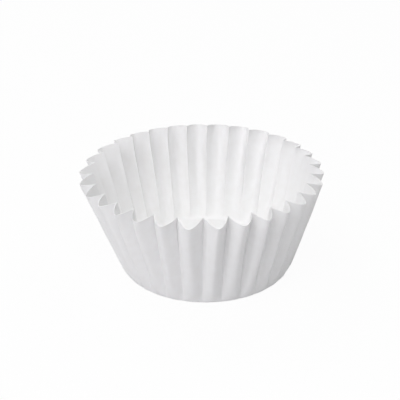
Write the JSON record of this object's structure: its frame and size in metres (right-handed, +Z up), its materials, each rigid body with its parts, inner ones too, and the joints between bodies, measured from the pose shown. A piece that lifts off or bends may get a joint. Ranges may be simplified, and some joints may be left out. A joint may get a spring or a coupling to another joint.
{
  "type": "cupcake liner",
  "caption": "Fluted white greaseproof paper cup with a flat round bottom and a scalloped rim, for baking a cupcake.",
  "frame": {"origin": "on the surface that the cup stands on, under the middle of its rim", "axes": "+Z up out of the cup's mouth; +X to the right and +Y to the back as the picture shows it"},
  "size_m": [0.0695, 0.0694, 0.0299],
  "materials": {
    "paper": "matt white greaseproof paper"
  },
  "bodies": {
    "root": {"liner": "paper"}
  },
  "joints": []
}
